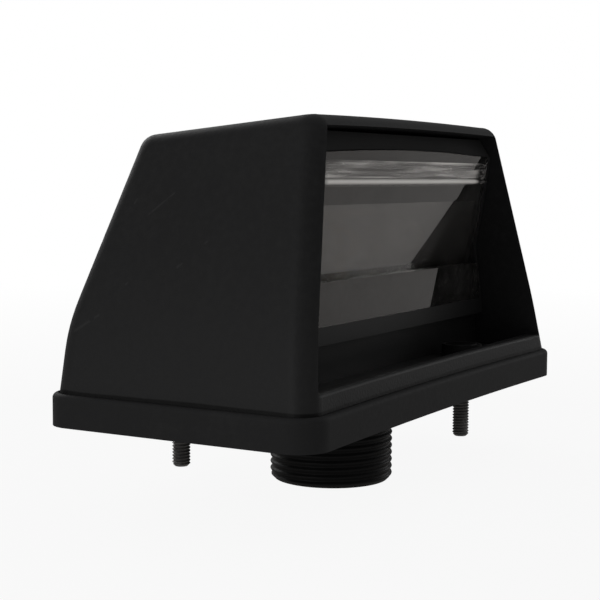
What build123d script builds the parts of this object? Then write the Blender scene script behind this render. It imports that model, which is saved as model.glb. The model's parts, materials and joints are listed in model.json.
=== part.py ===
"""Number plate lamp: hooded twin-bulb lamp with a threaded cable spigot. Sizes in mm.

X runs along the lamp, the lit window faces -Y and +Z is up.
The origin is the centre of the mounting pad's underside.
"""

import os
from math import radians, tan
from build123d import *

os.makedirs("parts", exist_ok=True)

# Rubber mounting pad
pad_length = 130.0
pad_width = 63.8
pad_height = 6.7
pad_floor = 4.2
pad_rim = 1.3
pad_corner = 6.5
pad_edge_round = 1.1
front_bow = 1.6

# Hood
hood_gap = 0.3
hood_wall = 2.5
end_wall = 3.6
hood_front_top = 63.4
top_fall = 4.4
hood_break = 20.3
break_blend = 5.0
blend_steps = 6
end_draft = 3.0
end_lean = 14.2
rear_lean = 10.2
front_lean = 7.1
top_crown = 0.6
rear_corner = 4.6
front_round = 4.5
top_round_share = 0.86
sill_top = 10.6
sill_depth = 4.6
sill_round = 0.8
hood_screw_x = 48.0
hood_screw_z = 13.5

# Lamp body
body_gap = 0.4
plate_thickness = 3.0
chamber_wall = 2.2
cheek_wall = 1.4
chamber_rear_gap = 16.0
apron_setback = 6.15
rail_bottom = 15.7
bezel_setback = 4.6
seat_ledge = 2.0
boss_width = 10.0
boss_rise = 5.0
carrier_boss_radius = 3.2
carrier_boss = 5.0

# Cable spigot
spigot_radius = 14.15
spigot_length = 18.8
spigot_y = -0.6
spigot_bore_radius = 9.5
spigot_chamfer = 1.0
collar_radius = 15.0
collar_clearance = 0.2
register_radius = 11.5
register_fit = 0.05

# Lens and its seal
lens_foot = 19.6
lens_step = 29.0
lens_top_drop = 7.8
brow_height = 10.2
lens_crown = 1.0
lens_setback = 5.05
lens_tilt = 17.3
brow_tilt = 15.0
lens_wall = 2.2
lens_step_depth = 2.2
lens_foot_tilt = 5.0
lens_clearance = 0.2
bead_drop = 5.8
bead_radius = 0.55
flute_count = 4
flute_radius = 0.6
flute_pitch = 1.4
seal_thickness = 1.0

# Bulbs
bulb_setback = 14.0
bulb_drop = 19.6
bulb_length = 36.0
glass_radius = 5.5
glass_wall = 0.6
glass_neck = 3.4
glass_shoulder = 2.0
cap_radius = 4.25
cap_length = 9.0
cap_cone = 3.0
cap_tip_radius = 1.5
cap_overlap = 3.0
filament_radius = 0.3
filament_length = 8.0
filament_lead = 0.2

# Contacts and their carrier
contact_gap = 8.0
contact_sheet = 0.5
contact_width = 8.0
contact_foot = 9.0
contact_bite = 0.8
contact_play = 0.05
blade_width = 6.3
blade_drop = 16.0
carrier_room = 2.1
carrier_below = 10.5
carrier_above = 9.0
carrier_thickness = 2.5
carrier_corner = 2.0
earth_bar_rise = 7.5
earth_bar_height = 3.0
earth_leg_x = 20.0

# Fasteners
hole_clearance = 0.15
thread_fit = 0.05
rivet_radius = 1.25
rivet_head_radius = 2.2
rivet_head = 0.8
m3_radius = 1.5
m3_head_radius = 2.75
m3_head = 1.8
m3_length = 8.0
carrier_screw_x = 27.0
carrier_screw_drop = 7.2
m4_radius = 2.0
m4_head_radius = 3.9
m4_head = 2.4
hood_screw_length = 10.0
hood_screw_room = 1.0
carrier_screw_room = 0.5
stud_x = 32.8
stud_y = 19.1
stud_reach = 12.6
stud_shank_radius = 2.5
stud_head_flats = 7.0
stud_head = 2.8
stud_chamfer = 0.6
stud_boss_radius = 4.9
stud_boss = 3.0

# Places worked out from the sizes above
foot_x = pad_length / 2 - pad_rim - hood_gap
foot_y = pad_width / 2 - pad_rim - hood_gap
hood_rear_top = hood_front_top - top_fall
rear_top_y = foot_y - rear_lean
front_top_y = -foot_y + front_lean
top_slope = (hood_front_top - hood_rear_top) / (rear_top_y - front_top_y)
end_slope = end_draft / (hood_break - pad_height)
end_turn = end_lean / (hood_front_top - hood_break) - end_slope
rear_turn = rear_lean / (hood_rear_top - hood_break)
front_slope = front_lean / (hood_front_top - pad_height)
top_round = top_round_share * min(front_round, rear_corner)
blend_levels = [hood_break + break_blend * (2 * step / blend_steps - 1) for step in range(blend_steps + 1)]
wall_levels = [pad_height, *blend_levels]
plate_top = pad_floor + plate_thickness
sill_inner = -foot_y + sill_depth
frame_inset = hood_wall + body_gap
end_inset = end_wall + body_gap
lens_inset = end_inset + cheek_wall + lens_clearance
lens_top = hood_front_top - lens_top_drop
lens_bend = lens_top - brow_height
lens_bend_y = front_top_y + lens_setback
bead_height = lens_top - bead_drop
apron_front = lens_bend_y + apron_setback
chamber_back = foot_y - chamber_rear_gap
chamber_inner_back = chamber_back - chamber_wall
bulb_y = chamber_back - bulb_setback
bulb_z = lens_top - bulb_drop
carrier_front = chamber_inner_back - carrier_thickness
carrier_bottom = bulb_z - carrier_below
carrier_top = bulb_z + carrier_above
earth_bar_top = bulb_z + earth_bar_rise
blade_end = bulb_z - blade_drop
carrier_screw_z = bulb_z - carrier_screw_drop
stud_head_bottom = plate_top + stud_boss - stud_head
stud_places = [(-stud_x, stud_y), (stud_x, -stud_y)]
hood_screw_places = [(-hood_screw_x, hood_screw_z), (hood_screw_x, hood_screw_z)]
carrier_screw_places = [(-carrier_screw_x, carrier_screw_z), (carrier_screw_x, carrier_screw_z)]
far = pad_length + pad_width


def past_break(height):
    # height over the hood's break, eased in along the rounded part
    rise = height - hood_break
    if abs(rise) < break_blend:
        return (rise + break_blend) ** 2 / (4 * break_blend)
    return max(rise, 0)


def end_x(height):
    return foot_x - end_slope * max(height - pad_height, 0) - end_turn * past_break(height)


def rear_y(height):
    return foot_y - rear_turn * past_break(height)


def bow_at(height):
    return front_bow * (end_x(height) / foot_x) ** 2


def front_y(height):
    # front corners of the hood, where its hollow front face meets the ends
    return -foot_y + front_slope * max(height - pad_height, 0) + front_bow - bow_at(height)


def top_z(depth):
    return hood_front_top - (depth - front_top_y) * top_slope


def lens_face_y(height):
    tilt = brow_tilt if height > lens_bend else lens_tilt
    return lens_bend_y + (lens_bend - height) * tan(radians(tilt))


def lens_back_y(height):
    return lens_bend_y + (lens_bend - height) * tan(radians(lens_tilt)) + lens_wall


def bowed_plan(half, front, rear, bow, front_corner, back_corner):
    # plan with a hollow front edge and rounded corners
    with BuildSketch() as plan:
        with BuildLine():
            ThreePointArc((-half, front), (0, front + bow), (half, front))
            Polyline((half, front), (half, rear), (-half, rear), (-half, front))
        make_face()
        fillet(plan.vertices().group_by(Axis.Y)[0], front_corner)
        fillet(plan.vertices().group_by(Axis.Y)[-1], back_corner)
    return plan.sketch


def pad_plan(inset, front_corner, back_corner):
    half = pad_length / 2 - inset
    depth = pad_width / 2 - inset
    return bowed_plan(half, -depth, depth, front_bow, front_corner, back_corner)


def side_block(points, outline):
    # a side view drawn on YZ, trimmed by a front view drawn on XZ
    with BuildPart() as block:
        with BuildSketch(Plane.YZ):
            Polygon(*points, align=None)
        extrude(amount=far, both=True)
        extrude(outline, amount=far, both=True, mode=Mode.INTERSECT)
    return block.part


def end_outline(inset, low, high):
    # front view between two heights, with the lean of the end walls
    heights = [low, *[height for height in (pad_height, hood_break) if low < height < high], high]
    right = [(end_x(height) - inset, height) for height in heights]
    left = [(-x, height) for x, height in reversed(right)]
    with BuildSketch(Plane.XZ) as outline:
        Polygon(*right, *left, align=None)
    return outline.sketch


def lens_outline(grow, foot):
    # front view of the window with its crowned top edge, grown outwards
    top = lens_top + grow
    half_top = end_x(lens_top) - lens_inset + grow
    half_foot = end_x(foot) - lens_inset + grow
    with BuildSketch(Plane.XZ) as outline:
        with BuildLine():
            ThreePointArc((-half_top, top), (0, top + lens_crown), (half_top, top))
            Polyline((half_top, top), (half_foot, foot), (-half_foot, foot), (-half_top, top))
        make_face()
    return outline.sketch


# Rubber pad with a raised rim round the hood
with BuildPart() as base_pad:
    add(pad_plan(0, pad_corner, pad_corner))
    extrude(amount=pad_height)
    fillet(base_pad.faces().sort_by(Axis.Z)[-1].edges(), pad_edge_round)
    with BuildSketch(Plane.XY.offset(pad_floor)):
        add(pad_plan(pad_rim, front_round + hood_gap, rear_corner + hood_gap))
    extrude(amount=pad_height, mode=Mode.SUBTRACT)
    with BuildSketch():
        with Locations((0, spigot_y)):
            Circle(collar_radius + collar_clearance)
        with Locations(*stud_places):
            Circle(stud_shank_radius + hole_clearance)
    extrude(amount=pad_height, mode=Mode.SUBTRACT)
base_pad.part.label = "base_pad"
export_step(base_pad.part, "parts/base_pad.step")

# Hood: one moulded shell, open below and in front, with a low sill
hood_crest = hood_front_top + pad_width * top_slope + pad_height
hood_levels = [pad_floor, *wall_levels, hood_crest]
crown_radius = (end_x(hood_front_top) ** 2 + top_crown**2) / (2 * top_crown)
crown_plane = Plane(
    origin=(0, front_top_y, hood_front_top + top_crown),
    x_dir=(1, 0, 0),
    z_dir=(0, 1, -top_slope),
)
with BuildPart() as hood_void:
    for height in hood_levels:
        with BuildSketch(Plane.XY.offset(height)) as section:
            with Locations((0, rear_y(height) - hood_wall)):
                Rectangle(2 * (end_x(height) - end_wall), 2 * pad_width, align=(Align.CENTER, Align.MAX))
            fillet(section.vertices().group_by(Axis.Y)[-1], rear_corner - hood_wall)
    loft(ruled=True)
    with BuildSketch(crown_plane):
        with Locations((0, crown_radius)):
            Circle(crown_radius - hood_wall)
    extrude(amount=far, both=True, mode=Mode.INTERSECT)
    with BuildSketch(Plane.YZ):
        with Locations((sill_inner, sill_top)):
            Rectangle(far, far, align=(Align.MAX, Align.MAX))
    extrude(amount=far, both=True, mode=Mode.SUBTRACT)

with BuildPart() as hood:
    for height in hood_levels:
        with BuildSketch(Plane.XY.offset(height)):
            sides = (end_x(height), front_y(height), rear_y(height), bow_at(height))
            add(bowed_plan(*sides, front_round, rear_corner))
    loft(ruled=True)
    with BuildSketch(crown_plane):
        with Locations((0, crown_radius)):
            Circle(crown_radius)
    extrude(amount=far, both=True, mode=Mode.INTERSECT)
    fillet(hood.faces().sort_by(Axis.Z)[-1].edges(), top_round)
    add(hood_void.part, mode=Mode.SUBTRACT)
    level_faces = hood.faces().filter_by(Axis.Z)
    sill_faces = level_faces.filter_by(lambda face: pad_height < face.center().Z < hood_break)
    sill_edges = sill_faces.edges().filter_by(lambda edge: edge.length > foot_x)
    fillet(sill_edges, sill_round)
    with BuildSketch(Plane.XZ.offset(-foot_y)):
        with Locations(*hood_screw_places):
            Circle(m4_radius + hole_clearance)
    extrude(amount=foot_y, mode=Mode.SUBTRACT)
hood.part.label = "hood"
export_step(hood.part, "parts/hood.step")

# Lamp body: floor plate and an upright bulb chamber with the window's mouth
over_top = lens_top + lens_crown + chamber_back
rail_front = lens_face_y(lens_step) - lens_step_depth + (lens_step - lens_foot) * tan(radians(lens_foot_tilt))
rail_back = lens_back_y(lens_foot) + seal_thickness + seat_ledge
frame_meet = lens_bend - (rail_front - lens_bend_y) / tan(radians(lens_tilt))
bezel_y = front_top_y + bezel_setback
chamber_block = side_block(
    [
        (apron_front, pad_floor),
        (apron_front, rail_bottom),
        (rail_front, rail_bottom),
        (rail_front, frame_meet),
        (lens_bend_y, lens_bend),
        (lens_face_y(lens_top), lens_top),
        (bezel_y, top_z(bezel_y) - frame_inset),
        (chamber_back, top_z(chamber_back) - frame_inset),
        (chamber_back, pad_floor),
    ],
    end_outline(end_inset, pad_floor, over_top),
)
mouth = side_block(
    [
        (-far, lens_foot),
        (lens_back_y(lens_foot) + seal_thickness, lens_foot),
        (lens_back_y(over_top) + seal_thickness, over_top),
        (-far, over_top),
    ],
    lens_outline(lens_clearance, lens_foot),
)
window = lens_outline(-seat_ledge, lens_foot + seat_ledge)
cavity = side_block(
    [
        (-far, lens_foot + seat_ledge),
        (chamber_inner_back, lens_foot + seat_ledge),
        (chamber_inner_back, over_top),
        (-far, over_top),
    ],
    window,
)
cellar = side_block(
    [
        (apron_front + chamber_wall, plate_top),
        (chamber_inner_back, plate_top),
        (chamber_inner_back, lens_foot + seat_ledge),
        (rail_back, lens_foot + seat_ledge),
        (rail_back, rail_bottom),
        (apron_front + chamber_wall, rail_bottom),
    ],
    end_outline(end_inset + cheek_wall + seat_ledge, plate_top, lens_foot + seat_ledge),
)
plate_front = sill_inner + body_gap
plate_rear = foot_y - frame_inset
with BuildPart() as body:
    with BuildSketch(Plane.XY.offset(pad_floor)) as plate_plan:
        with Locations((0, (plate_front + plate_rear) / 2)):
            Rectangle(2 * (end_x(plate_top) - end_inset), plate_rear - plate_front)
        fillet(plate_plan.vertices().group_by(Axis.Y)[-1], rear_corner - frame_inset)
    extrude(amount=plate_thickness)
    with BuildSketch(Plane.XY.offset(plate_top)):
        with Locations(*stud_places):
            Circle(stud_boss_radius)
    extrude(amount=stud_boss)
    with BuildSketch(Plane.XZ.offset(-plate_rear)):
        with Locations(*[(x, plate_top) for x, _ in hood_screw_places]):
            Rectangle(boss_width, hood_screw_z + boss_rise - plate_top, align=(Align.CENTER, Align.MIN))
    extrude(amount=boss_width)
    add(chamber_block)
    with BuildSketch(Plane.XZ.offset(-chamber_back)):
        with Locations(*carrier_screw_places):
            Circle(carrier_boss_radius)
    extrude(amount=-carrier_boss)
    for room in (mouth, cavity, cellar):
        add(room, mode=Mode.SUBTRACT)
    with BuildSketch(Plane.XY.offset(pad_floor)):
        with Locations((0, spigot_y)):
            Circle(register_radius + register_fit)
    extrude(amount=plate_thickness, mode=Mode.SUBTRACT)
    with BuildSketch(Plane.XY.offset(pad_floor)):
        with Locations(*stud_places):
            Circle(stud_shank_radius + hole_clearance)
    extrude(amount=plate_thickness + stud_boss, mode=Mode.SUBTRACT)
    with BuildSketch(Plane.XY.offset(stud_head_bottom)):
        with Locations(*stud_places):
            RegularPolygon(stud_head_flats / 2 + hole_clearance, 6, major_radius=False)
    extrude(amount=stud_boss, mode=Mode.SUBTRACT)
    with BuildSketch(Plane.XZ.offset(-plate_rear)):
        with Locations(*hood_screw_places):
            Circle(m4_radius + thread_fit)
    extrude(amount=hood_screw_length - hood_wall + hood_screw_room, mode=Mode.SUBTRACT)
    with BuildSketch(Plane.XZ.offset(-carrier_front)):
        with Locations(*carrier_screw_places):
            Circle(m3_radius + thread_fit)
    extrude(amount=-(m3_length + carrier_screw_room), mode=Mode.SUBTRACT)
body.part.label = "body"
export_step(body.part, "parts/body.step")

# Hollow cable spigot: collar under the plate, register through it, gland thread's blank below
with BuildPart() as spigot:
    for start, radius, height in (
        (pad_floor, register_radius, plate_thickness),
        (0, collar_radius, pad_floor),
        (-spigot_length, spigot_radius, spigot_length),
    ):
        with BuildSketch(Plane.XY.offset(start)):
            with Locations((0, spigot_y)):
                Circle(radius)
        extrude(amount=height)
    chamfer(spigot.faces().sort_by(Axis.Z)[0].edges(), spigot_chamfer)
    with BuildSketch(Plane.XY.offset(-spigot_length)):
        with Locations((0, spigot_y)):
            Circle(spigot_bore_radius)
    extrude(amount=spigot_length + plate_top, mode=Mode.SUBTRACT)
spigot.part.label = "spigot"
export_step(spigot.part, "parts/spigot.step")

# Clear lens: leaning face, stepped foot, moulded bead and flutes behind the brow
with BuildPart() as lens:
    with BuildSketch(Plane.YZ):
        Polygon(
            (lens_face_y(over_top), over_top),
            (lens_bend_y, lens_bend),
            (lens_face_y(lens_step), lens_step),
            (lens_face_y(lens_step) - lens_step_depth, lens_step),
            (rail_front, lens_foot),
            (lens_back_y(lens_foot), lens_foot),
            (lens_back_y(over_top), over_top),
            align=None,
        )
        with Locations((lens_face_y(bead_height), bead_height)):
            Circle(bead_radius)
        flute_heights = [bead_height + flute_pitch * step for step in range(flute_count)]
        with Locations(*[(lens_back_y(height), height) for height in flute_heights]):
            Circle(flute_radius, mode=Mode.SUBTRACT)
    extrude(amount=far, both=True)
    extrude(lens_outline(0, lens_foot), amount=far, both=True, mode=Mode.INTERSECT)
lens.part.label = "lens"
export_step(lens.part, "parts/lens.step")

# Rubber frame that the lens beds on
seal_strip = side_block(
    [
        (lens_back_y(lens_foot), lens_foot),
        (lens_back_y(lens_foot) + seal_thickness, lens_foot),
        (lens_back_y(over_top) + seal_thickness, over_top),
        (lens_back_y(over_top), over_top),
    ],
    lens_outline(0, lens_foot),
)
with BuildPart() as lens_seal:
    add(seal_strip)
    extrude(window, amount=far, both=True, mode=Mode.SUBTRACT)
lens_seal.part.label = "lens_seal"
export_step(lens_seal.part, "parts/lens_seal.step")

# Insulating carrier for the contacts, screwed to the chamber's back wall
bulb_reach = bulb_length / 2 - contact_bite
bulb_x = contact_gap / 2 + bulb_reach
outer_x = bulb_x + bulb_reach
foot_middle = outer_x + contact_sheet - contact_foot / 2
rivet_places = [
    (-foot_middle, bulb_z),
    (0, bulb_z),
    (foot_middle, bulb_z),
    (earth_leg_x, bulb_z),
]
carrier_half = end_x(carrier_top) - lens_inset - seat_ledge - carrier_room
with BuildPart() as contact_carrier:
    with BuildSketch(Plane.XZ.offset(-carrier_front)) as carrier_face:
        with Locations((0, (carrier_bottom + carrier_top) / 2)):
            Rectangle(2 * carrier_half, carrier_top - carrier_bottom)
        fillet(carrier_face.vertices(), carrier_corner)
        with Locations(*carrier_screw_places):
            Circle(m3_radius + hole_clearance, mode=Mode.SUBTRACT)
        with Locations(*rivet_places):
            Circle(rivet_radius + thread_fit, mode=Mode.SUBTRACT)
    extrude(amount=-carrier_thickness)
contact_carrier.part.label = "contact_carrier"
export_step(contact_carrier.part, "parts/contact_carrier.step")

# Earth bar along the carrier, under the two outer contacts, with its blade hanging down
bar_front = carrier_front - contact_sheet
with BuildPart() as earth_bar:
    with BuildSketch(Plane.XZ.offset(-carrier_front)):
        with Locations((0, earth_bar_top)):
            bar_length = 2 * (outer_x + contact_sheet)
            Rectangle(bar_length, earth_bar_height, align=(Align.CENTER, Align.MAX))
        with Locations((-foot_middle, earth_bar_top), (foot_middle, earth_bar_top)):
            tab_height = earth_bar_top - bulb_z + contact_width / 2
            Rectangle(contact_foot, tab_height, align=(Align.CENTER, Align.MAX))
        with Locations((earth_leg_x, earth_bar_top)):
            Rectangle(blade_width, earth_bar_top - blade_end, align=(Align.CENTER, Align.MAX))
        with Locations(*[place for place in rivet_places if place[0] != 0]):
            Circle(rivet_radius + thread_fit, mode=Mode.SUBTRACT)
    extrude(amount=contact_sheet)
earth_bar.part.label = "earth_bar"
export_step(earth_bar.part, "parts/earth_bar.step")


def contact_arm(face_x, thickness, back_y):
    # upright spring leaf across the bulb's end, drilled for the cap's cone
    grip = cap_tip_radius + contact_bite * (cap_radius - cap_tip_radius) / cap_cone + contact_play
    with BuildPart() as arm:
        with BuildSketch(Plane.YZ.offset(face_x)):
            with Locations((bulb_y, bulb_z)):
                Circle(contact_width / 2)
                Rectangle(back_y - bulb_y, contact_width, align=(Align.MIN, Align.CENTER))
                Circle(grip, mode=Mode.SUBTRACT)
        extrude(amount=thickness)
    return arm.part


# Outer contacts: a leaf folded on a foot that lies over the earth bar's tab
for side, name in ((-1, "left_contact"), (1, "right_contact")):
    leaf = contact_arm(side * outer_x, side * contact_sheet, bar_front)
    with BuildPart() as outer_contact:
        with BuildSketch(Plane.XZ.offset(-bar_front)):
            with Locations((side * foot_middle, bulb_z)):
                Rectangle(contact_foot, contact_width)
                Circle(rivet_radius + thread_fit, mode=Mode.SUBTRACT)
        extrude(amount=contact_sheet)
        add(leaf)
    outer_contact.part.label = name
    export_step(outer_contact.part, f"parts/{name}.step")

# Centre contact: two leaves on one foot, with the live blade hanging down
left_leaf = contact_arm(-contact_gap / 2, contact_sheet, carrier_front)
right_leaf = contact_arm(contact_gap / 2, -contact_sheet, carrier_front)
with BuildPart() as centre_contact:
    with BuildSketch(Plane.XZ.offset(-carrier_front)):
        with Locations((0, bulb_z)):
            Rectangle(contact_gap, contact_width)
        with Locations((0, bulb_z)):
            Rectangle(blade_width, bulb_z - blade_end, align=(Align.CENTER, Align.MAX))
            Circle(rivet_radius + thread_fit, mode=Mode.SUBTRACT)
    extrude(amount=contact_sheet)
    add(left_leaf)
    add(right_leaf)
centre_contact.part.label = "centre_contact"
export_step(centre_contact.part, "parts/centre_contact.step")

# Rivets through feet, bar and carrier
with BuildPart() as contact_rivets:
    for place in rivet_places:
        stacked = 2 if abs(place[0]) == foot_middle else 1
        head_back = carrier_front - stacked * contact_sheet
        with BuildSketch(Plane.XZ.offset(-head_back)):
            with Locations(place):
                Circle(rivet_head_radius)
        extrude(amount=rivet_head)
        with BuildSketch(Plane.XZ.offset(-head_back)):
            with Locations(place):
                Circle(rivet_radius)
        extrude(amount=-(chamber_inner_back - head_back))
    fillet(contact_rivets.faces().filter_by(Axis.Y).group_by(Axis.Y)[0].edges(), rivet_head / 2)
contact_rivets.part.label = "contact_rivets"
export_step(contact_rivets.part, "parts/contact_rivets.step")

# Pan-head screws of the carrier
with BuildPart() as carrier_screws:
    with BuildSketch(Plane.XZ.offset(-carrier_front)):
        with Locations(*carrier_screw_places):
            Circle(m3_head_radius)
    extrude(amount=m3_head)
    fillet(carrier_screws.faces().sort_by(Axis.Y)[:2].edges(), m3_head / 2)
    with BuildSketch(Plane.XZ.offset(-carrier_front)):
        with Locations(*carrier_screw_places):
            Circle(m3_radius)
    extrude(amount=-m3_length)
carrier_screws.part.label = "carrier_screws"
export_step(carrier_screws.part, "parts/carrier_screws.step")

# Festoon bulbs in line: open-ended glass barrel, two metal caps, a coiled filament
glass_half = bulb_length / 2 - cap_length + cap_overlap
glass_start = bulb_length / 2 - cap_length
for side, name in ((-1, "left_bulb"), (1, "right_bulb")):
    bulb_plane = Plane(origin=(side * bulb_x, bulb_y, bulb_z), x_dir=(1, 0, 0), z_dir=(0, -1, 0))
    with BuildPart() as glass:
        with BuildSketch(bulb_plane):
            with BuildLine():
                Polyline(
                    (-glass_half, glass_neck - glass_wall),
                    (-glass_half, glass_neck),
                    (-glass_start, glass_neck),
                    (-glass_start + glass_shoulder, glass_radius),
                    (glass_start - glass_shoulder, glass_radius),
                    (glass_start, glass_neck),
                    (glass_half, glass_neck),
                    (glass_half, glass_neck - glass_wall),
                    (glass_start, glass_neck - glass_wall),
                    (glass_start - glass_shoulder, glass_radius - glass_wall),
                    (-glass_start + glass_shoulder, glass_radius - glass_wall),
                    (-glass_start, glass_neck - glass_wall),
                    close=True,
                )
            make_face()
        revolve(axis=Axis(bulb_plane.origin, (1, 0, 0)))
    glass.part.label = f"{name}_glass"
    export_step(glass.part, f"parts/{name}_glass.step")

    with BuildPart() as caps:
        with BuildSketch(bulb_plane):
            with BuildLine():
                Polyline(
                    (glass_start, glass_neck),
                    (glass_start, cap_radius),
                    (bulb_length / 2 - cap_cone, cap_radius),
                    (bulb_length / 2, cap_tip_radius),
                    (bulb_length / 2, 0),
                    (glass_half, 0),
                    (glass_half, glass_neck),
                    close=True,
                )
            make_face()
            mirror(about=Plane.YZ)
        revolve(axis=Axis(bulb_plane.origin, (1, 0, 0)))
    caps.part.label = f"{name}_caps"
    export_step(caps.part, f"parts/{name}_caps.step")

    with BuildPart() as filament:
        with BuildSketch(Plane(origin=bulb_plane.origin, x_dir=(0, 1, 0), z_dir=(1, 0, 0))):
            Circle(filament_radius)
        extrude(amount=filament_length / 2, both=True)
        with BuildSketch(Plane(origin=bulb_plane.origin, x_dir=(0, 1, 0), z_dir=(1, 0, 0))):
            Circle(filament_lead)
        extrude(amount=glass_half, both=True)
    filament.part.label = f"{name}_filament"
    export_step(filament.part, f"parts/{name}_filament.step")

# Captive hex-head studs on the pad's diagonal, with a plain shank down to the pad's underside
with BuildPart() as mounting_studs:
    with BuildSketch(Plane.XY.offset(-stud_reach)):
        with Locations(*stud_places):
            Circle(m4_radius)
    extrude(amount=stud_reach)
    chamfer(mounting_studs.faces().sort_by(Axis.Z)[:2].edges(), stud_chamfer)
    with BuildSketch():
        with Locations(*stud_places):
            Circle(stud_shank_radius)
    extrude(amount=stud_head_bottom)
    with BuildSketch(Plane.XY.offset(stud_head_bottom)):
        with Locations(*stud_places):
            RegularPolygon(stud_head_flats / 2, 6, major_radius=False)
    extrude(amount=stud_head)
mounting_studs.part.label = "mounting_studs"
export_step(mounting_studs.part, "parts/mounting_studs.step")

# Pan-head screws through the hood's rear band
with BuildPart() as hood_screws:
    with BuildSketch(Plane.XZ.offset(-foot_y)):
        with Locations(*hood_screw_places):
            Circle(m4_head_radius)
    extrude(amount=-m4_head)
    fillet(hood_screws.faces().sort_by(Axis.Y)[-2:].edges(), m4_head / 2)
    with BuildSketch(Plane.XZ.offset(-foot_y)):
        with Locations(*hood_screw_places):
            Circle(m4_radius)
    extrude(amount=hood_screw_length)
hood_screws.part.label = "hood_screws"
export_step(hood_screws.part, "parts/hood_screws.step")
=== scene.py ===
import json
import math
import bmesh
import bpy
from mathutils import Matrix, Vector


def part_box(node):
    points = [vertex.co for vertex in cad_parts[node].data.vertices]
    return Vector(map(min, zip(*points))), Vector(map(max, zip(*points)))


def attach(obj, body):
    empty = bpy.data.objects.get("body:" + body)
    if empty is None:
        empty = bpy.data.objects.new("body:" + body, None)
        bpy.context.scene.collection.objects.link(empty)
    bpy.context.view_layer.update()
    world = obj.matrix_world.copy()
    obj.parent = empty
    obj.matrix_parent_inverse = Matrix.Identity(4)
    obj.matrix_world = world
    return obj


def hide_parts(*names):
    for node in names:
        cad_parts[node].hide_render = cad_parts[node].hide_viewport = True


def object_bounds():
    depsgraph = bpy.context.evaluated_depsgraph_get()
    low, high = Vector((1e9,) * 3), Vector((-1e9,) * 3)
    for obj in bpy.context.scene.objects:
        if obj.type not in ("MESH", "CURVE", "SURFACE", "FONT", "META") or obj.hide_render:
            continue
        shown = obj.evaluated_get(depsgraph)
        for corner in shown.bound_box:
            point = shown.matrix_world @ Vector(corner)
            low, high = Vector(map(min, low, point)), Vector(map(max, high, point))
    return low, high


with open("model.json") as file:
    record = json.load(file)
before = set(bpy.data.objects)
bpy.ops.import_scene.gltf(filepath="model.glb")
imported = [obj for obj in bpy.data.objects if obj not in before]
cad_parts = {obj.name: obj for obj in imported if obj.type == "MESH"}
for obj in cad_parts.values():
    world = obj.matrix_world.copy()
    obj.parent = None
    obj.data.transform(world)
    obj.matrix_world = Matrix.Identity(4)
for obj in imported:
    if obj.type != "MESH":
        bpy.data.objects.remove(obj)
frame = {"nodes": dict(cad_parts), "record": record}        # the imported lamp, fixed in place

nodes = frame["nodes"]
record = frame["record"]
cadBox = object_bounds()
mounts = {mount["name"]: mount for mount in record["mounts"]}
mm = 0.001
weld = 1e-6              # points nearer than this are merged
print("frame loaded:", len(nodes), "CAD nodes")


# sockets as Python values

class Wire:                                        # one node socket that joins in Python maths
    def __init__(self, tree, socket=None):
        self.tree = tree
        self.socket = socket

    def node(self, kind, settings=None, inputs=None, out=0):
        made = self.tree.nodes.new(kind)
        for name, value in (settings or {}).items():
            setattr(made, name, value)
        for name, value in (inputs or {}).items():
            for link in value if isinstance(value, list) else [value]:   # a list is several links
                if isinstance(link, Wire):
                    self.tree.links.new(link.socket, made.inputs[name])
                else:
                    made.inputs[name].default_value = link
        return Wire(self.tree, made.outputs[out] if made.outputs else None)

    def maths(self, operation, *values):
        return self.node("ShaderNodeMath", {"operation": operation}, dict(enumerate(values)))

    def clamped(self, low=0.0, high=1.0):
        return self.maths("MINIMUM", self.maths("MAXIMUM", self, low), high)

    def __add__(self, other):
        return self.maths("ADD", self, other)

    def __radd__(self, other):
        return self.maths("ADD", other, self)

    def __sub__(self, other):
        return self.maths("SUBTRACT", self, other)

    def __rsub__(self, other):
        return self.maths("SUBTRACT", other, self)

    def __mul__(self, other):
        return self.maths("MULTIPLY", self, other)

    def __rmul__(self, other):
        return self.maths("MULTIPLY", other, self)

    def __truediv__(self, other):
        return self.maths("DIVIDE", self, other)

    def __rtruediv__(self, other):
        return self.maths("DIVIDE", other, self)


# shader helpers

def newMaterial(name):
    material = bpy.data.materials.new(name)
    material.use_nodes = True
    material.node_tree.nodes.clear()
    return material, Wire(material.node_tree)


def finishMaterial(start, shader):
    start.node("ShaderNodeOutputMaterial", None, {"Surface": shader})


def principled(start, inputs):
    return start.node("ShaderNodeBsdfPrincipled", None, inputs)


def mixShader(start, factor, first, second):
    return start.node("ShaderNodeMixShader", None, {0: factor, 1: first, 2: second})


def mixColour(start, factor, first, second):
    return start.node("ShaderNodeMix", {"data_type": "RGBA"}, {0: factor, 6: first, 7: second}, 2)


def bump(start, height, strength, distance):
    return start.node("ShaderNodeBump", None,
                      {"Strength": strength, "Distance": distance, "Height": height})


def objectPlace(start):
    return start.node("ShaderNodeTexCoord", None, None, "Object")


def axis(start, place, letter):                    # one coordinate of a place
    return start.node("ShaderNodeSeparateXYZ", None, {0: place}, letter)


def vectorMaths(start, operation, inputs, out=0):
    return start.node("ShaderNodeVectorMath", {"operation": operation}, inputs, out)


def stretched(start, place, scale):
    return start.node("ShaderNodeMapping", None, {"Vector": place, "Scale": scale})


def noise(start, place, settings):                 # settings are scale, detail and roughness
    scale, detail, rough = settings
    return start.node("ShaderNodeTexNoise", None,
                      {"Vector": place, "Scale": scale, "Detail": detail, "Roughness": rough})


def swing(field, amount):                          # noise about its middle value
    return (field - 0.5) * amount


def rise(field, begin, gain):                      # 0 up to begin, then a slope up to 1
    return ((field - begin) * gain).clamped()


def within(start, value, low, high):               # 1 between the two limits, 0 outside
    return start.maths("GREATER_THAN", value, low) * start.maths("LESS_THAN", value, high)


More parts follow.
